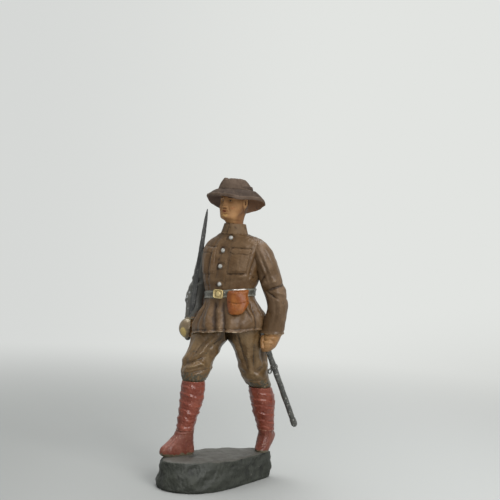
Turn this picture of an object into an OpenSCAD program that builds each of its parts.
// A marching toy soldier of moulded composition on a rough oblong base, with tin arms.
// Millimetres. The base lies on z = 0 with the origin at the centre of its underside, +Z is up.
// The figure marches towards -Y, so its left side is +X. Every organic form is a skin over
// a stack of level slices, and what is worn or sewn on it is worked out from that same skin.

/* [Base] */
// Length of the base along the march
base_l = 32.8; // [30:0.1:36]
// Width of the base at its underside
base_w = 15.2; // [14:0.1:17]
// Height of the base
base_h = 7.3; // [6:0.1:9]
// Depth of the hand-shaped unevenness of the base's sides
base_rough = 0.28; // [0:0.01:0.4]

/* [Stance] */
// Height of the figure from its soles to the top of its hat
figure_h = 71.5; // [68:0.1:76]
// Distance between the ankles along the march
stride = 21.4; // [20:0.1:23]
// Distance between the ankles across the march
stance_w = 10; // [9:0.1:11]
// Angle that the chest is turned towards the figure's left
torso_turn = 6; // [0:1:10]
// Angle that the head is turned towards the figure's left
head_turn = 2; // [-10:1:15]

/* [Legs] */
// Length of a boot
boot_l = 10.2; // [9.5:0.1:11.5]
// Width of a boot
boot_w = 3.9; // [3.5:0.1:4.4]
// Width of the leg above the boot
ankle_w = 4.2; // [3.8:0.1:4.6]
// Depth of the leg above the boot
ankle_d = 4.9; // [4.4:0.1:5.4]
// Width of the wrapped calf
calf_w = 6; // [5.4:0.1:6.6]
// Depth of the wrapped calf
calf_d = 6.8; // [6:0.1:7.4]
// Turns of cloth wound round each calf
puttee_turns = 6; // [4:1:8]
// Height of the step between two turns of cloth
wrap_step = 0.12; // [0.05:0.01:0.2]
// Depth of a breeches leg under the skirt
thigh_d = 9.8; // [9:0.1:10.6]

/* [Tunic] */
// Width of the chest
chest_w = 16.4; // [15:0.1:17.5]
// Depth of the chest
chest_d = 10.4; // [9.4:0.1:11]
// Width of the waist under the belt
waist_w = 13.6; // [12.6:0.1:14.4]
// Depth of the waist under the belt
waist_d = 9.6; // [8.8:0.1:10.4]
// Width of the skirt at its hem
hem_w = 18.8; // [17.4:0.1:19.4]
// Depth of the skirt at its hem
hem_d = 16; // [15:0.1:17]
// Depth of the skirt's folds at the hem
fold_depth = 0.42; // [0:0.01:0.6]
// Lean of the flat where an arm joins, which lets the armpit stand further out than the shoulder
armhole_lean = 9; // [6:1:11]
// Width of the collar at its foot
collar_w = 6.9; // [6.4:0.1:7.4]
// Height of the stand collar
collar_h = 2.7; // [2:0.1:2.8]
// Thickness of the stand collar
collar_t = 0.62; // [0.4:0.01:0.8]

/* [Arms] */
// Thickness of the upper arm in its sleeve
upper_arm_w = 5.7; // [5.2:0.1:6]
// Thickness of the forearm in its sleeve
forearm_w = 5; // [4.6:0.1:5.3]
// Thickness of a cuff
cuff_w = 5.2; // [4.8:0.1:5.4]
// Width of a fist
fist_w = 4.1; // [3.8:0.1:4.4]
// Depth of a fist
fist_d = 4.9; // [4.5:0.1:5.2]
// Height of a fist
fist_h = 4.6; // [4.2:0.1:5]

/* [Head and hat] */
// Width of the head
head_w = 6.5; // [6:0.1:7]
// Depth of the head from brow to nape
head_d = 7.8; // [7.2:0.1:8.2]
// Width of the neck
neck_w = 5.3; // [4.8:0.1:5.6]
// How far the nose stands out
nose_out = 0.85; // [0.5:0.01:1.1]
// Width of the hat's crown at its foot
crown_w = 8.6; // [8:0.1:9.2]
// Depth of the hat's crown at its foot
crown_d = 10.6; // [10:0.1:11.2]
// Width of the hat's brim
brim_w = 14.8; // [13.5:0.1:16]
// Depth of the hat's brim
brim_d = 16.6; // [15:0.1:18]
// Thickness of the brim
brim_t = 0.6; // [0.4:0.01:0.8]
// Mean drop of the brim's edge below the foot of the crown
brim_drop_h = 3; // [2.2:0.1:3.6]
// How much lower the brim hangs at the back than the mean
brim_tilt_h = 1.6; // [1:0.1:2.4]
// Height of the hat band
band_h = 0.9; // [0.6:0.01:1.2]
// Thickness of the hat band
band_t = 0.22; // [0.1:0.01:0.3]

/* [Belt and pouches] */
// Height of the belt
belt_h = 1.8; // [1.4:0.1:2.2]
// Thickness of the belt
belt_t = 0.38; // [0.2:0.01:0.5]
// Width of the belt buckle
buckle_w = 2.9; // [2.4:0.1:3.3]
// Height of the belt buckle
buckle_h = 2.3; // [2:0.1:2.6]
// Thickness of the belt buckle
buckle_t = 0.45; // [0.3:0.01:0.6]
// Width of the holster's flap
holster_w = 6.2; // [5.6:0.1:6.6]
// Height of the holster
holster_h = 6.7; // [6:0.1:7.2]
// Thickness of the holster
holster_t = 1.5; // [1:0.05:1.9]
// Width of a breast pocket
pocket_w = 5.2; // [4.6:0.1:5.6]
// Height of a breast pocket
pocket_h = 6; // [5.2:0.1:6.4]
// Thickness of a breast pocket
pocket_t = 0.28; // [0.15:0.01:0.4]
// Diameter of a tunic button
button_d = 1.25; // [1:0.05:1.5]
// Height of a tunic button
button_h = 0.5; // [0.3:0.01:0.6]

/* [Arms of tin] */
// Length of the sword blade
blade_l = 29.4; // [27:0.1:31]
// Width of the sword blade
blade_w = 1.45; // [1.2:0.05:1.6]
// Thickness of the sword blade
blade_t = 0.6; // [0.4:0.05:0.7]
// Radius of the guard's shell round the fist
guard_r = 2.75; // [2.6:0.05:2.9]
// Thickness of the guard's tin
guard_t = 0.35; // [0.25:0.01:0.45]
// Diameter of the sword grip
grip_d = 1.2; // [0.9:0.05:1.4]
// Diameter of the scabbard
scabbard_d = 1.5; // [1.3:0.05:1.7]
// Length of the scabbard below the fist
scabbard_l = 24; // [22:0.1:26]
// Distance from the fist to the scabbard's band
band_below = 4.6; // [3:0.1:6]
// Thickness of the scabbard's band
band_wall = 0.22; // [0.15:0.01:0.3]
// Diameter of the scabbard's carrying ring
ring_d = 1.6; // [1.3:0.05:1.8]
// Thickness of the carrying ring's wire
ring_t = 0.42; // [0.3:0.01:0.5]

/* [Wire armature] */
// Diameter of the armature wires
wire_d = 0.9; // [0.7:0.05:1.1]
// Depth that the leg wires reach into the base
wire_foot = 5; // [3.5:0.1:5.5]

/* [Hidden] */

// Clearance between two neighbouring pieces
fit = 0.04;
// Overrun of every cut past the face that it cuts
over = 2;
// Faces round a true cylinder, for display only
round_fn = 48;
// Points round the tunic's skin, round a plainer one and round a thin one
fine_n = 44;
plain_n = 24;
thin_n = 18;

// Levels of the figure above its soles, as shares of its height
right_ankle_share = 0.088;
left_ankle_share = 0.079;
right_calf_share = 0.262;
left_calf_share = 0.24;
hem_share = 0.442;
belt_share = 0.582;
shoulder_share = 0.801;
hat_seat_share = 0.947;
crown_foot_share = 0.957;
cuff_share = 0.452;
armhole_share = 0.75;
// Rise of the hem and belt to the figure's left, as a share of their width
tunic_rise_share = 0.14;
// Width of each thigh, which the skirt hangs over
thigh_w = hem_w * 0.447;
// Distance from the middle of the chest to the flat where an arm joins
armhole_x = chest_w * 0.39;

// A height above the ground, from a share of the figure's height
function level(share) = base_h + figure_h * share;

// Middle of the stance, torso, neck, head and hat, as shares of the height
stance_share = [0.0028, 0.0543];
torso_share = [0.003, 0.022];
neck_share = [0.002, 0.0235];
head_share = [0.0015, 0.0105];
hat_share = [0.004, 0.0165];
function middle(shares) = [figure_h * shares.x, figure_h * shares.y];
stance = middle(stance_share);
torso = middle(torso_share);
neck = middle(neck_share);
skull = middle(head_share);
hat_at = middle(hat_share);

right_foot = [stance.x - stance_w / 2, stance.y - stride / 2];
left_foot = [stance.x + stance_w / 2, stance.y + stride / 2];

// Cubic that runs through every row of a table, at the row number t
function between(rows, t) =
    let (
        last = len(rows) - 1, i = max(0, min(last - 1, floor(t))), u = t - i,
        a = rows[max(0, i - 1)], b = rows[i], c = rows[i + 1], d = rows[min(last, i + 2)]
    )
    (2 * b + (c - a) * u + (2 * a - 5 * b + 4 * c - d) * u ^ 2 + (3 * b - 3 * c + d - a) * u ^ 3) / 2;

// A cosine or sine drawn towards a square, which fills out the corners of a slice
function full(v, power) = sign(v) * abs(v) ^ (2 / power);

// One slice is a row: height, middle x and y, reach to +x, -x, front and back, and its fullness,
// which a rise towards +x may follow
function slice_point(row, angle, turn, out = 0) =
    let (
        c = full(cos(angle), row[7]), s = full(sin(angle), row[7]),
        x = c * (c > 0 ? row[3] : row[4]) + out * cos(angle),
        y = s * (s > 0 ? row[6] : row[5]) + out * sin(angle)
    )
    [
        row[1] + x * cos(turn) - y * sin(turn), row[2] + x * sin(turn) + y * cos(turn),
        row[0] + (len(row) > 8 ? row[8] * x : 0)
    ];

function slice(row, n, turn, relief, t) =
    [for (i = [0:n - 1]) slice_point(row, 360 * i / n, turn, relief(360 * i / n, t))];

// Rings of a skin through the rows of a table, with a relief that depends on angle and share of height
flat_relief = function (angle, t) 0;
function rings(rows, n, steps, turn = 0, relief = flat_relief) =
    let (spans = len(rows) - 1, count = spans * steps)
    [for (k = [0:count]) slice(between(rows, k / steps), n, turn, relief, k / count)];

// Closed skin over a stack of rings with equal numbers of points
module skin(stack) {
    n = len(stack[0]);
    top = (len(stack) - 1) * n;
    walls = [
        for (k = [0:len(stack) - 2]) for (i = [0:n - 1])
            let (a = k * n + i, b = k * n + (i + 1) % n)
            each [[a, a + n, b + n], [a, b + n, b]]
    ];
    caps = [[for (i = [0:n - 1]) i], [for (i = [0:n - 1]) top + n - 1 - i]];
    polyhedron([for (ring = stack) each ring], concat(walls, caps));
}

// Closed band whose rings of points run round a loop, such as a belt
module loop_skin(stack) {
    n = len(stack[0]);
    m = len(stack);
    walls = [
        for (k = [0:m - 1]) for (i = [0:n - 1])
            let (
                here = k * n, there = ((k + 1) % m) * n, j = (i + 1) % n,
                a = here + i, b = here + j, c = there + i, d = there + j
            )
            each [[a, c, d], [a, d, b]]
    ];
    polyhedron([for (ring = stack) each ring], walls);
}

// Puts children's z axis on the line from one place to another
module along(from, to) {
    d = to - from;
    translate(from) rotate([0, acos(d.z / norm(d)), atan2(d.y, d.x)]) children();
}

// Turn of a bar about its own axis, which keeps its seam off the corners of the skins it passes
wire_turn = 37;

// Round bar from place to place along a path, whose straight lengths run into each other at a bend
module bar(path, d) {
    last = len(path) - 1;
    for (i = [1:last]) {
        before = i > 1 ? d / 4 : 0;
        after = i < last ? d / 4 : 0;
        along(path[i - 1], path[i]) translate([0, 0, -before])
            rotate(wire_turn)
                cylinder(h = norm(path[i] - path[i - 1]) + before + after, d = d, $fn = round_fn);
    }
}

// Legs

// Middle of each leg from its ankle, at a height share of the figure, and how far its place to the
// side follows the hem instead of the ankle
right_leg_shares = [
    [0.088, 0, 0, 0], [0.14, 0.003, 0.006, 0], [0.2, 0.005, 0.019, 0], [0.262, 0.006, 0.021, 0],
    [0.31, 0.006, 0.029, 0.5], [0.365, 0.007, 0.056, 0.8], [0.4, 0.009, 0.077, 1], [0.442, 0.01, 0.094, 1],
    [0.47, 0.011, 0.106, 1]
];
left_leg_shares = [
    [0.079, 0, 0, 0], [0.145, -0.003, -0.018, 0], [0.19, -0.004, -0.026, 0], [0.24, -0.006, -0.047, 0],
    [0.28, -0.008, -0.075, 0.4], [0.327, -0.01, -0.092, 0.7], [0.37, -0.012, -0.109, 1],
    [0.442, -0.016, -0.138, 1], [0.47, -0.018, -0.149, 1]
];
// Middles of the thighs as shares of the hem's width from the torso
right_thigh_share = -0.228;
left_thigh_share = 0.206;
function column(table, k) = [for (r = table) [r[0], r[k]]];
function leg_middle(table, foot, thigh_share, share) =
    let (
        free = foot + middle([lookup(share, column(table, 1)), lookup(share, column(table, 2))]),
        tied = lookup(share, column(table, 3))
    )
    [free.x * (1 - tied) + (torso.x + hem_w * thigh_share) * tied, free.y];
right_leg_middle = function (share) leg_middle(right_leg_shares, right_foot, right_thigh_share, share);
left_leg_middle = function (share) leg_middle(left_leg_shares, left_foot, left_thigh_share, share);

// Wire armature

// Where a leg wire stands in the base, bends at the top of the puttee and ends in the torso,
// from the ankle, from the middle of the calf and from the torso, as shares of leg and height.
// The ends of the shoulder wire are shares of the chest's width and of the height
right_wire_shares = [[0, 0.12], [0, 0.06], [-0.036, -0.01, 0.52]];
left_wire_shares = [[0.06, -0.24], [0.02, 0.2], [0.036, 0.03, 0.52]];

function leg_wire(shares, foot, at, calf_share) =
    let (calf = at(calf_share))
    [
        [foot.x + ankle_w * shares[0].x, foot.y + ankle_d * shares[0].y, base_h - wire_foot],
        [calf.x + calf_w * shares[1].x, calf.y + calf_d * shares[1].y, level(calf_share)],
        concat(torso + middle(shares[2]), level(shares[2].z))
    ];
right_wire = leg_wire(right_wire_shares, right_foot, right_leg_middle, right_calf_share);
left_wire = leg_wire(left_wire_shares, left_foot, left_leg_middle, left_calf_share);
spine = [concat(torso, level(0.62)), concat(skull, level(0.92))];
shoulder_wire_shares = [[-0.488, 0.028, 0.728], [0.5535, 0.051, 0.728]];
shoulder_line = [for (s = shoulder_wire_shares) [chest_w * s.x, figure_h * s.y, level(s.z)]];

module right_leg_wire() {
    color("dimgray") bar(right_wire, wire_d);
}

module left_leg_wire() {
    color("dimgray") bar(left_wire, wire_d);
}

module spine_wire() {
    color("dimgray") bar(spine, wire_d);
}

module shoulder_wire() {
    color("dimgray") bar(shoulder_line, wire_d);
}

// Bore that a wire passes, with its clearance
module wire_bore(path) {
    bar(path, wire_d + 2 * fit);
}

// Base

// Outline of the underside and of the top, as shares of half the base's width and length
underside_shares = [
    [0.87, 0.95], [0.64, 1], [0.2, 0.96], [-0.3, 0.71], [-0.68, 0.37], [-0.92, -0.03], [-1.02, -0.43],
    [-0.99, -0.8], [-0.55, -0.98], [0, -1], [0.61, -0.8], [0.93, -0.46], [1, -0.12], [0.96, 0.39]
];
top_shares = [
    [0.88, 0.88], [0.62, 0.93], [0.28, 0.82], [-0.12, 0.6], [-0.52, 0.26], [-0.77, -0.08], [-0.86, -0.42],
    [-0.8, -0.74], [-0.47, -0.92], [-0.1, -0.9], [0.42, -0.7], [0.76, -0.38], [0.95, -0.04], [0.92, 0.38]
];
// Height share, how far from the underside's outline to the top's, and how far drawn in
base_side_shares = [
    [0, 0, 0.97], [0.1, 0, 1], [0.45, 0.3, 1.01], [0.8, 0.72, 1.02], [0.95, 0.94, 1.02], [1, 1, 0.97]
];

function round_loop(points, t) =
    let (m = len(points), i = floor(t))
    between([for (k = [-1:2]) points[(i + k + m) % m]], 1 + t - i);

function base_point(side, t) =
    let (
        low = round_loop(underside_shares, t), high = round_loop(top_shares, t),
        p = (low * (1 - side[1]) + high * side[1]) * side[2],
        angle = 360 * t / len(underside_shares),
        wave = sin(5 * angle + 260 * side[0]) + sin(11 * angle - 400 * side[0]),
        uneven = base_rough * wave * sin(180 * side[0])
    )
    [p.x * base_w / 2 + uneven * sign(p.x), p.y * base_l / 2 + uneven * sign(p.y), side[0] * base_h];

module base_form() {
    around = 2;
    m = len(underside_shares) * around;
    skin([for (k = [0:0.5:len(base_side_shares) - 1])
        let (side = between(base_side_shares, k))
        [for (i = [0:m - 1]) base_point([max(0, min(1, side[0])), side[1], side[2]], i / around)]]);
}

module base() {
    color("darkslategray") difference() {
        base_form();
        wire_bore(right_wire);
        wire_bore(left_wire);
    }
}

// Boots

// Slices of a boot: height share, reach forward, back and to each side, as shares of its length and width
flat_boot_shares = [
    [0, 0.66, 0.27, 0.46], [0.1, 0.72, 0.29, 0.5], [0.24, 0.73, 0.28, 0.5], [0.38, 0.66, 0.26, 0.49],
    [0.55, 0.5, 0.25, 0.47], [0.72, 0.36, 0.24, 0.46], [0.86, 0.27, 0.24, 0.48]
];
// The same for the raised boot, with the shift of each slice towards the toe
raised_boot_shares = [
    [0, 0.2, 0.12, 0.42, 0.2], [0.13, 0.24, 0.22, 0.47, 0.18], [0.3, 0.24, 0.37, 0.49, 0.12],
    [0.5, 0.23, 0.48, 0.5, 0.05], [0.7, 0.22, 0.45, 0.51, 0], [0.86, 0.23, 0.33, 0.49, 0]
];
right_boot_turn = -10;
left_boot_turn = 16;
boot_fullness = 2.3;

function ankle_row(foot, z) = [z, foot.x, foot.y, ankle_w / 2, ankle_w / 2, ankle_d / 2, ankle_d / 2, 2.1];

module right_boot() {
    top = level(right_ankle_share);
    rows = [
        for (s = flat_boot_shares)
            [base_h + (top - base_h) * s[0], right_foot.x, right_foot.y, boot_w * s[3], boot_w * s[3],
                boot_l * s[1], boot_l * s[2], boot_fullness],
        ankle_row(right_foot, top)
    ];
    color("brown") difference() {
        skin(rings(rows, plain_n, 2, right_boot_turn));
        wire_bore(right_wire);
    }
}

module left_boot() {
    top = level(left_ankle_share);
    toe = [sin(left_boot_turn), -cos(left_boot_turn)];
    rows = [
        for (s = raised_boot_shares)
            let (at = left_foot + toe * boot_l * s[4])
            [base_h + (top - base_h) * s[0], at.x, at.y, boot_w * s[3], boot_w * s[3],
                boot_l * s[1], boot_l * s[2], boot_fullness],
        ankle_row(left_foot, top)
    ];
    color("brown") difference() {
        skin(rings(rows, plain_n, 2, left_boot_turn));
        wire_bore(left_wire);
    }
}

// Puttees

// Slices between ankle and calf: share of the way up, width, depth as shares of the calf's
puttee_shares = [
    [0, 0.72, 0.74], [0.18, 0.75, 0.79], [0.4, 0.88, 0.9], [0.62, 1, 1], [0.82, 1.02, 1.01], [1, 0.96, 0.96]
];
puttee_rings = 5;

function puttee_rows(low, high, at) = [
    for (s = puttee_shares)
        let (
            share = low + (high - low) * s[0], m = at(share),
            w = s[1] * calf_w / 2, d = s[2] * calf_d / 2
        )
        [level(share), m.x, m.y, w, w, d * 0.98, d * 1.02, 2.1]
];

// Each turn of cloth stands out at its lower edge and runs under the next one below
wound = function (angle, t)
    let (turn = puttee_turns * t + angle / 360, along_turn = turn - floor(turn))
    wrap_step * (0.5 - along_turn) * min(1, 8 * t, 8 * (1 - t));

module puttee(low, high, at, wire) {
    color("firebrick") difference() {
        skin(rings(puttee_rows(low, high, at), thin_n, puttee_rings, 0, wound));
        wire_bore(wire);
    }
}

module right_puttee() {
    puttee(right_ankle_share, right_calf_share, right_leg_middle, right_wire);
}

module left_puttee() {
    puttee(left_ankle_share, left_calf_share, left_leg_middle, left_wire);
}

// Breeches

// Slices between calf and hem: share of the way up, reach outwards and inwards, forward and back,
// as shares of the thigh's width and depth
breeches_shares = [
    [0, 0.33, 0.33, 0.31, 0.33], [0.06, 0.38, 0.38, 0.36, 0.36], [0.2, 0.38, 0.38, 0.35, 0.36],
    [0.4, 0.43, 0.42, 0.42, 0.39], [0.6, 0.44, 0.44, 0.44, 0.42], [0.76, 0.46, 0.52, 0.47, 0.46],
    [0.88, 0.48, 0.68, 0.49, 0.48], [1, 0.5, 0.8, 0.5, 0.5], [1.15, 0.5, 0.87, 0.5, 0.5]
];
// Depth of the cloth's sag over the top of the puttee
sag = 0.22;
// Turn of the seam between the legs from the march
seam_turn = 29;

function breeches_rows(low, at, side) = [
    for (s = breeches_shares)
        let (
            share = low + (hem_share - low) * s[0], m = at(share),
            out = side > 0 ? s[1] : s[2], in = side > 0 ? s[2] : s[1]
        )
        [level(share), m.x, m.y, thigh_w * out, thigh_w * in, thigh_d * s[3], thigh_d * s[4], 2.15]
];

baggy = function (angle, t)
    sag * (sin(3 * angle + 900 * t) + sin(2 * angle - 700 * t)) * sin(180 * t);

// Half of space on one side of the seam between the legs
module beside_seam(side) {
    reach = hem_w + hem_d;
    translate([torso.x, torso.y, level(hem_share) - reach / 4]) rotate(seam_turn)
        translate([side > 0 ? reach / 2 : -reach / 2, 0, 0]) cube(reach, center = true);
}

// All of space above the skirt's underside, where the thighs join it
module above_hem() {
    reach = hem_w + hem_d;
    translate([torso.x, torso.y, level(hem_share)]) rotate([0, -atan(tunic_rise_share), torso_turn])
        translate([-reach / 2, -reach / 2, 0]) cube(reach);
}

module breeches_leg(low, at, side, wire) {
    color("saddlebrown") difference() {
        skin(rings(breeches_rows(low, at, side), plain_n, 2, 0, baggy));
        beside_seam(-side);
        above_hem();
        wire_bore(wire);
    }
}

module right_breeches_leg() {
    breeches_leg(right_calf_share, right_leg_middle, -1, right_wire);
}

module left_breeches_leg() {
    breeches_leg(left_calf_share, left_leg_middle, 1, left_wire);
}

// Tunic

// Slices of the skirt between hem and belt, then of the chest between belt and collar:
// share of the way up, width to the left and right, reach forward and back, all as shares of the
// named sizes, then how much of the rise to the left it takes. The shoulder that bears the sword slopes more
skirt_shares = [
    [0, 1, 0.97, 0.53, 0.5, 1], [0.22, 1.05, 1.01, 0.5, 0.52, 1], [0.42, 1.04, 0.97, 0.45, 0.5, 1],
    [0.6, 0.95, 0.89, 0.4, 0.44, 1], [0.8, 0.86, 0.8, 0.34, 0.36, 1]
];
trunk_shares = [
    [0.17, 0.95, 0.93, 0.53, 0.47, 0.8], [0.36, 1, 1, 0.54, 0.46, 0.45], [0.58, 1.06, 1.05, 0.51, 0.46, 0.2],
    [0.77, 1.08, 1, 0.43, 0.44, 0], [0.88, 1.03, 0.83, 0.36, 0.39, 0], [0.96, 0.8, 0.57, 0.3, 0.33, 0],
    [1, 0.44, 0.42, 0.27, 0.3, 0]
];
waist_low = level(belt_share) - belt_h / 2;
waist_high = level(belt_share) + belt_h / 2;
hem_z = level(hem_share);
neck_z = level(shoulder_share);
waist_row = function (z)
    [z, torso.x, torso.y, waist_w / 2, waist_w / 2, waist_d * 0.53, waist_d * 0.47, 2.2, tunic_rise_share];
tunic_rows = [
    for (s = skirt_shares)
        [hem_z + (waist_low - hem_z) * s[0], torso.x, torso.y, hem_w * s[1] / 2, hem_w * s[2] / 2,
            hem_d * s[3], hem_d * s[4], 2.1, tunic_rise_share * s[5]],
    waist_row(waist_low),
    waist_row(waist_high),
    for (s = trunk_shares)
        [waist_high + (neck_z - waist_high) * s[0], torso.x + (neck.x - torso.x) * s[0],
            torso.y + (neck.y - torso.y) * s[0],
            chest_w * s[1] / 2, chest_w * s[2] / 2, chest_d * s[3], chest_d * s[4], 2.25,
            tunic_rise_share * s[5]]
];

// Folds fan out below the belt and are deepest at the hem
fold_count = 11;
folds = function (angle, t)
    let (down = max(0, 1 - t / 0.34))
    fold_depth * down * (cos(fold_count * angle) + cos((fold_count - 4) * angle + 60)) / 1.4;

// Row number at a height, so that the tunic's surface is known at any angle and height
tunic_steps = 8;
tunic_heights = [
    for (k = [0:tunic_steps * (len(tunic_rows) - 1)])
        let (t = k / tunic_steps) [between(tunic_rows, t)[0], t]
];
function tunic_at(angle, z, out = 0) =
    slice_point(between(tunic_rows, lookup(z, tunic_heights)), angle, torso_turn, out);
// Angles run round from the figure's left, so its front is at 270
front = 270;

// Puts children at a shoulder's flat, which leans outwards down to the armpit
module at_armhole(side) {
    translate([torso.x, torso.y, level(armhole_share)])
        rotate([0, -side * armhole_lean, torso_turn]) children();
}

// All of space on the arm's side of a shoulder's flat and on the body's side of it, above the belt
module past_armhole(side) {
    reach = 2 * chest_w;
    low = level(armhole_share) - waist_high;
    at_armhole(side) translate([side > 0 ? armhole_x : -armhole_x - reach, -reach / 2, -low]) cube(reach);
}

module inside_armhole(side) {
    reach = 2 * chest_w;
    low = level(armhole_share) - waist_high;
    at_armhole(side) translate([side > 0 ? armhole_x - reach : -armhole_x, -reach / 2, -low]) cube(reach);
}

module tunic_form() {
    skin(rings(tunic_rows, fine_n, 2, torso_turn, folds));
}

module tunic_body() {
    color("saddlebrown") difference() {
        tunic_form();
        past_armhole(1);
        past_armhole(-1);
        wire_bore(right_wire);
        wire_bore(left_wire);
        wire_bore(spine);
        wire_bore(shoulder_line);
    }
}

// Width of the collar's top as a share of its foot
collar_lean_share = 0.84;

// Stand collar, round the neck and closed in front
module collar() {
    foot = collar_w / 2;
    top = foot * collar_lean_share;
    outline = [[foot - collar_t, 0], [top - collar_t, collar_h], [top, collar_h], [foot, 0]];
    color("saddlebrown") loop_skin([
        for (i = [0:plain_n - 1]) let (a = 360 * i / plain_n)
            [for (p = outline) [neck.x + p.x * cos(a), neck.y + p.x * sin(a), neck_z + p.y]]
    ]);
}

// A patch on the tunic, raised by a thickness. Each row of its table holds the share of the way up,
// how far the row dips at the points of a scalloped edge, the width and the thickness, all as shares.
// Its foot may swing to a side by a share of its width
module patch(mid, low, high, width, thick, rows, scallop = 0, across = 10, from = fit, swing = 0) {
    radius = norm(tunic_at(mid, (low + high) / 2) - concat(torso, (low + high) / 2));
    half_angle = width / 2 / radius * 180 / PI;
    cell = function (i, row, raised)
        let (
            u = 2 * i / across - 1, dip = scallop * row[1] * (1 + cos(720 * u)) / 2,
            side = abs(u) < 1 ? 1 : 0.4,
            z = low + (high - low) * row[0] - dip
        )
        tunic_at(
            mid + (u * row[2] + swing * (1 - row[0])) * half_angle, z,
            from + (raised ? thick * row[3] * side : 0)
        );
    skin([for (row = rows) concat(
        [for (i = [across:-1:0]) cell(i, row, false)],
        [for (i = [0:across]) cell(i, row, true)]
    )]);
}

// Belt with its buckle

module belt() {
    color("silver") loop_skin([
        for (i = [0:fine_n - 1]) let (a = 360 * i / fine_n)
            [
                tunic_at(a, waist_low, fit), tunic_at(a, waist_high, fit),
                tunic_at(a, waist_high, fit + belt_t * 0.7),
                tunic_at(a, (waist_low + waist_high) / 2, fit + belt_t),
                tunic_at(a, waist_low, fit + belt_t * 0.7)
            ]
    ]);
}

// Height of the buckle's and holster's foot over the tunic: clear of the belt
on_belt = belt_t + 2 * fit;

// A flat rounded plate that stands on the belt at an angle
module on_front(angle, z, out) {
    p = tunic_at(angle, z, out);
    translate(p) rotate([90, 0, angle + torso_turn + 90]) children();
}

module belt_buckle() {
    rim = buckle_h / 6;
    color("gold") on_front(front, level(belt_share), on_belt) {
        difference() {
            linear_extrude(buckle_t) rounded(buckle_w, buckle_h, rim);
            translate([0, 0, buckle_t / 2]) linear_extrude(buckle_t)
                rounded(buckle_w - 2 * rim, buckle_h - 2 * rim, rim / 2);
        }
        cylinder(h = buckle_t, d = buckle_h - 3 * rim, $fn = round_fn);
    }
}

module rounded(w, h, r) {
    for (x = [r - w / 2, w / 2 - r]) for (y = [r - h / 2, h / 2 - r])
        translate([x, y]) circle(r, $fn = round_fn);
    square([w, h - 2 * r], center = true);
    square([w - 2 * r, h], center = true);
}

// Holster with a flap, hung from the belt in front of the left hip
holster_angle = 315;
holster_swing = -0.34;
holster_rows = [
    [0, 0, 0.26, 0.4], [0.06, 0, 0.42, 0.72], [0.24, 0, 0.64, 0.8], [0.47, 1, 0.82, 0.86],
    [0.5, 1, 0.89, 1], [0.7, 0, 0.97, 1], [0.88, 0, 1, 0.9], [1, 0, 0.95, 0.45]
];

module holster() {
    high = waist_high + belt_h * 0.1;
    low = high - holster_h;
    color("chocolate") patch(
        holster_angle, low, high, holster_w, holster_t, holster_rows, scallop = holster_h / 14,
        from = on_belt, swing = holster_swing
    );
}

// Breast pockets and buttons

pocket_low_share = 0.655;
pocket_angle = 33;
pocket_rows = [
    [0, 0, 0.86, 0.3], [0.05, 0, 0.94, 0.55], [0.35, 0, 0.96, 0.6], [0.73, 1, 0.96, 0.55],
    [0.75, 1, 1, 1], [0.96, 0, 1, 0.95], [1, 0, 0.98, 0.35]
];

module breast_pocket(side) {
    low = level(pocket_low_share);
    color("saddlebrown") patch(
        front + side * pocket_angle, low, low + pocket_h, pocket_w, pocket_t, pocket_rows,
        scallop = pocket_h / 14
    );
}

module right_breast_pocket() {
    breast_pocket(-1);
}

module left_breast_pocket() {
    breast_pocket(1);
}

// Heights of the buttons, and the turn of each from the front
button_level_shares = [0.617, 0.681, 0.738, 0.786];
button_angles = [0, 0, 0, 7];

module tunic_buttons() {
    ball = (button_d ^ 2 / 4 + button_h ^ 2) / (2 * button_h);
    color("silver") for (i = [0:len(button_level_shares) - 1])
        on_front(front + button_angles[i], level(button_level_shares[i]), fit)
            rotate_extrude($fn = round_fn) intersection() {
                translate([0, button_h - ball]) circle(ball, $fn = round_fn);
                square([button_d, button_h]);
            }
}

// Sleeves

// Middle of each sleeve at a height share of the figure: up to the elbow how far outside the hem it
// hangs, as a share of the cuff, and above it its x as a share of the chest's width. Then its y as a
// share of the height and its thickness as a share of the arm's
right_sleeve_shares = [
    [cuff_share + 0.022, 0.37, 0.02, 0.9], [0.51, 0.41, 0.026, 0.9], [0.562, 0.49, 0.031, 0.97],
    [0.617, 0.22, 0.034, 0.95], [0.665, 0.58, 0.034, 1], [0.71, 0.515, 0.033, 1.02],
    [0.735, 0.467, 0.033, 0.96], [0.757, 0.423, 0.033, 0.72], [0.768, 0.392, 0.033, 0.38]
];
left_sleeve_shares = [
    [cuff_share, 0.318, 0.097, 0.9], [0.485, 0.398, 0.098, 0.83], [0.53, 0.513, 0.096, 0.84],
    [0.573, 0.456, 0.09, 0.96], [0.625, 0.658, 0.076, 1.02], [0.68, 0.597, 0.06, 1.03],
    [0.72, 0.542, 0.05, 1.04], [0.75, 0.48, 0.045, 0.97], [0.774, 0.44, 0.042, 0.72],
    [0.788, 0.412, 0.042, 0.36]
];
elbow_row = 4;

function arm_middle(table, side, i) =
    [
        side * (i < elbow_row ? hem_w / 2 + cuff_w * table[i][1] : chest_w * table[i][1]),
        figure_h * table[i][2]
    ];

function sleeve_rows(table, side) = [
    for (i = [0:len(table) - 1])
        let (
            s = table[i], arm = i == 0 ? cuff_w / 0.9 : i < 3 ? forearm_w / 0.88 : upper_arm_w,
            r = arm * s[3] / 2,
            m = arm_middle(table, side, i)
        )
        [level(s[0]), m.x, m.y, r, r, r * 1.03, r * 1.03, 2.15]
];

crease = 0.12;
creased = function (angle, t)
    crease * (sin(2 * angle + 1100 * t) + sin(3 * angle - 1500 * t)) * sin(180 * t);

module sleeve(table, side) {
    color("saddlebrown") difference() {
        skin(rings(sleeve_rows(table, side), plain_n, 2, 0, creased));
        inside_armhole(side);
        wire_bore(shoulder_line);
    }
}

module right_sleeve() {
    sleeve(right_sleeve_shares, -1);
}

module left_sleeve() {
    sleeve(left_sleeve_shares, 1);
}

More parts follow.
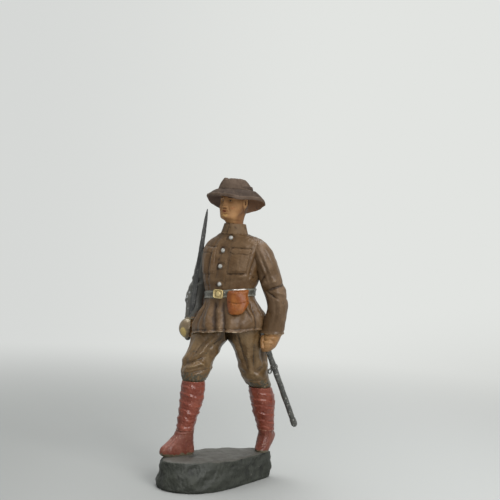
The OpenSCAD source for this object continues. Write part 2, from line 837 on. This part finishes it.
// Fists

// Slices from the bottom of a fist to the wrist: share of the way up, width and depth shares
fist_shares = [
    [0, 0.5, 0.5], [0.1, 0.78, 0.78], [0.3, 1, 1], [0.6, 1, 1], [0.85, 0.88, 0.9], [1, 0.84, 0.84]
];
// Depth of the grooves between the four fingers
finger_depth = 0.16;
knuckled = function (angle, t)
    finger_depth * (cos(4 * 360 * (0.08 + t * 0.86)) - 1) * max(0, -sin(angle)) * sin(180 * t);

function fist_rows(foot, wrist) = [
    for (s = fist_shares)
        let (m = foot + (wrist - foot) * s[0])
        [m.z, m.x, m.y, fist_w * s[1] / 2, fist_w * s[1] / 2, fist_d * s[2] / 2, fist_d * s[2] / 2, 2.3]
];

function wrist(table, side) = concat(arm_middle(table, side, 0), level(table[0][0]));
left_wrist = wrist(left_sleeve_shares, 1);
left_fist_foot = left_wrist - [fist_w * 0.22, fist_d * 0.3, fist_h];
right_wrist = wrist(right_sleeve_shares, -1);
right_fist_foot = right_wrist - [0, fist_d * 0.4, fist_h];

module left_fist() {
    color("peru") difference() {
        skin(rings(fist_rows(left_fist_foot, left_wrist), thin_n, 2, 0, knuckled));
        along(scabbard_mouth, scabbard_tip)
            cylinder(h = scabbard_l, d = scabbard_d + 2 * fit, $fn = round_fn);
    }
}

module right_fist() {
    color("peru") difference() {
        skin(rings(fist_rows(right_fist_foot, right_wrist), thin_n, 2, 0, knuckled));
        along(sword_foot, sword_tip) translate([0, 0, -over])
            cylinder(h = fist_h + 2 * over, d = grip_d + 2 * fit, $fn = round_fn);
    }
}

// Sword

sword_way_share = [0.1, 0.012, 1];
sword_way = sword_way_share / norm(sword_way_share);
hilt = (right_fist_foot + right_wrist) / 2 - [0, fist_d * 0.22, 0];
sword_foot = hilt - sword_way * (fist_h / 2 + guard_t);
sword_cross = hilt + sword_way * (fist_h / 2 + fit);
sword_tip = sword_cross + sword_way * (blade_l + guard_t);
// Turn of the blade's flat from the figure's front
blade_flat_turn = 31;
// Length and width shares of the blade from hilt to tip
blade_shares = [[0, 1], [0.3, 0.98], [0.6, 0.9], [0.85, 0.68], [0.97, 0.35], [1, 0.08]];

module sword_blade() {
    color("slategray") along(sword_cross + sword_way * (guard_t + fit), sword_tip) rotate(blade_flat_turn)
        skin([
            for (s = blade_shares)
                [for (i = [0:7]) let (a = 45 * i, c = cos(a), n = sin(a))
                    [blade_w / 2 * s[1] * c, blade_t / 2 * s[1] * n * 1.15, blade_l * s[0]]]
        ]);
}

module sword_guard() {
    span = norm(sword_cross - sword_foot);
    rise = (guard_r - grip_d) * 0.9;
    arc_r = ((span / 2) ^ 2 + rise ^ 2) / (2 * rise);
    color("gold") along(sword_foot, sword_tip) {
        translate([0, 0, span]) cylinder(h = guard_t, d = grip_d * 2, $fn = round_fn);
        rotate(180) rotate_extrude(angle = 130, $fn = round_fn) intersection() {
            translate([guard_r - arc_r, span / 2]) difference() {
                circle(arc_r, $fn = round_fn * 2);
                circle(arc_r - guard_t, $fn = round_fn * 2);
            }
            translate([grip_d / 2, 0]) square([guard_r, span + guard_t]);
        }
    }
}

module sword_grip() {
    span = norm(sword_cross - sword_foot);
    color("black") along(sword_foot, sword_tip) {
        cylinder(h = span, d = grip_d, $fn = round_fn);
        sphere(d = grip_d * 1.35, $fn = round_fn);
    }
}

// Scabbard

scabbard_way_share = [0.04, 0.64, -1];
scabbard_way = scabbard_way_share / norm(scabbard_way_share);
scabbard_mouth = left_fist_foot * 0.6 + left_wrist * 0.4 - [fist_w * 0.06, fist_d * 0.2, 0];
scabbard_tip = scabbard_mouth + scabbard_way * (scabbard_l + fist_h / 2);

module scabbard() {
    reach = norm(scabbard_tip - scabbard_mouth);
    chape = scabbard_d * 1.15;
    color("slategray") along(scabbard_mouth, scabbard_tip) {
        cylinder(h = reach, d = scabbard_d, $fn = round_fn);
        translate([0, 0, reach - chape]) cylinder(h = chape, d = chape, $fn = round_fn);
        translate([0, 0, reach]) sphere(d = scabbard_d, $fn = round_fn);
    }
}

band_at = fist_h / 2 + band_below;

module scabbard_band() {
    inner = scabbard_d + 2 * fit;
    color("gray") along(scabbard_mouth, scabbard_tip) translate([0, 0, band_at]) difference() {
        cylinder(h = ring_t * 2, d = inner + 2 * band_wall, $fn = round_fn);
        translate([0, 0, -over]) cylinder(h = ring_t * 2 + 2 * over, d = inner, $fn = round_fn);
    }
}

module carrying_ring() {
    off = scabbard_d / 2 + band_wall + fit + ring_d / 2 + fit;
    color("gray") along(scabbard_mouth, scabbard_tip) translate([0, 0, band_at + ring_t])
        translate([off, 0, 0]) rotate([90, 0, 0]) rotate_extrude($fn = round_fn)
            translate([(ring_d - ring_t) / 2, 0]) circle(d = ring_t, $fn = round_fn);
}

// Head

// Slices from the foot of the neck to the hat: height share, shift from neck to skull, width,
// reach forward and back as shares of the head's depth, and fullness
head_shares = [
    [0.801, 0, 0.72, 0.3, 0.3, 2], [0.833, 0.1, 0.74, 0.31, 0.31, 2], [0.848, 0.6, 0.84, 0.4, 0.4, 2.1],
    [0.858, 0.95, 0.88, 0.49, 0.45, 2.2], [0.874, 1, 0.94, 0.51, 0.48, 2.2], [0.9, 1, 0.99, 0.5, 0.5, 2.2],
    [0.925, 1, 1.01, 0.49, 0.51, 2.2], [0.947, 1, 1, 0.49, 0.5, 2.2]
];
nose = function (angle, t)
    let (across = (angle - front) / 11, up = (t - 0.7) / 0.1)
    nose_out * exp(-across ^ 2 - (up > 0 ? up / 1.6 : up) ^ 2);

module head() {
    rows = [
        for (s = head_shares)
            let (m = neck + (skull - neck) * s[1], w = s[1] < 0.3 ? neck_w / 2 : head_w * s[2] / 2)
            [level(s[0]), m.x, m.y, w, w, head_d * s[3], head_d * s[4], s[5]]
    ];
    color("peru") difference() {
        skin(rings(rows, plain_n, 2, head_turn, nose));
        wire_bore(spine);
    }
}

// Hat

hat_seat = level(hat_seat_share);
crown_foot = level(crown_foot_share);
hat_top = level(1);
// Direction in which the brim hangs lowest, and the depth of its two waves
droop_angle = 115;
brim_wave_h = 0.6;
droop_power = 1.5;
function brim_sink(angle) =
    brim_drop_h + brim_tilt_h * cos(angle - droop_angle) + brim_wave_h * cos(2 * (angle - droop_angle - 13));

// Points round the hat
hat_n = 36;
// Rings of the brim: share of the way out from crown to edge, under it and on top of it
under_shares = [0.3, 0.65, 0.92, 1];
above_shares = [1, 0.92, 0.65, 0.35, 0.1, 0];
edge_share = 0.5;
// Rings of the crown: share of its height, width share, and how far it leans forward
crown_shares = [
    [0.03, 0.95, 0.05], [0.32, 0.89, 0.06], [0.62, 0.78, 0.08], [0.88, 0.66, 0.1],
    [1, 0.53, 0.1], [0.95, 0.36, 0.09], [0.86, 0.12, 0.08]
];
crown_low = crown_foot + brim_t / 2;
crown_h = hat_top - crown_low;

// A place on the hat, in its own axes
function spot(x, y, z) =
    [
        hat_at.x + x * cos(head_turn) - y * sin(head_turn),
        hat_at.y + x * sin(head_turn) + y * cos(head_turn), z
    ];

function hat_ring(at) = [for (i = [0:hat_n - 1]) at(360 * i / hat_n)];

function brim_ring(out, side) =
    let (thick = out < 1 ? side : side * edge_share)
    hat_ring(function (a) spot(
        (crown_w + (brim_w - crown_w) * out) / 2 * cos(a),
        (crown_d + (brim_d - crown_d) * out) / 2 * sin(a),
        crown_foot + thick * brim_t / 2 - brim_sink(a) * out ^ droop_power
    ));

module hat() {
    color("saddlebrown") skin([
        hat_ring(function (a) spot(crown_w / 2 * cos(a), crown_d / 2 * sin(a), hat_seat)),
        for (out = under_shares) brim_ring(out, -1),
        for (out = above_shares) brim_ring(out, 1),
        for (s = crown_shares)
            hat_ring(function (a) spot(
                crown_w * s[1] / 2 * cos(a), crown_d * (s[1] / 2 * sin(a) - s[2]), crown_low + crown_h * s[0]
            ))
    ]);
}

module hat_band() {
    low = crown_low + crown_h * crown_shares[0][0] + fit;
    half_w = crown_w / 2 * crown_shares[0][1];
    half_d = crown_d / 2 * crown_shares[0][1];
    lean = crown_d * crown_shares[0][2];
    corner = function (a, d, z) spot((half_w + d) * cos(a), (half_d + d) * sin(a) - lean, z);
    color("dimgray") loop_skin(hat_ring(function (a) [
        corner(a, fit, low), corner(a, fit, low + band_h),
        corner(a, fit + band_t, low + band_h), corner(a, fit + band_t, low)
    ]));
}

base();
right_boot();
left_boot();
right_puttee();
left_puttee();
right_breeches_leg();
left_breeches_leg();
tunic_body();
collar();
right_sleeve();
left_sleeve();
right_fist();
left_fist();
head();
hat();
hat_band();
belt();
belt_buckle();
holster();
right_breast_pocket();
left_breast_pocket();
tunic_buttons();
sword_blade();
sword_guard();
sword_grip();
scabbard();
scabbard_band();
carrying_ring();
right_leg_wire();
left_leg_wire();
spine_wire();
shoulder_wire();
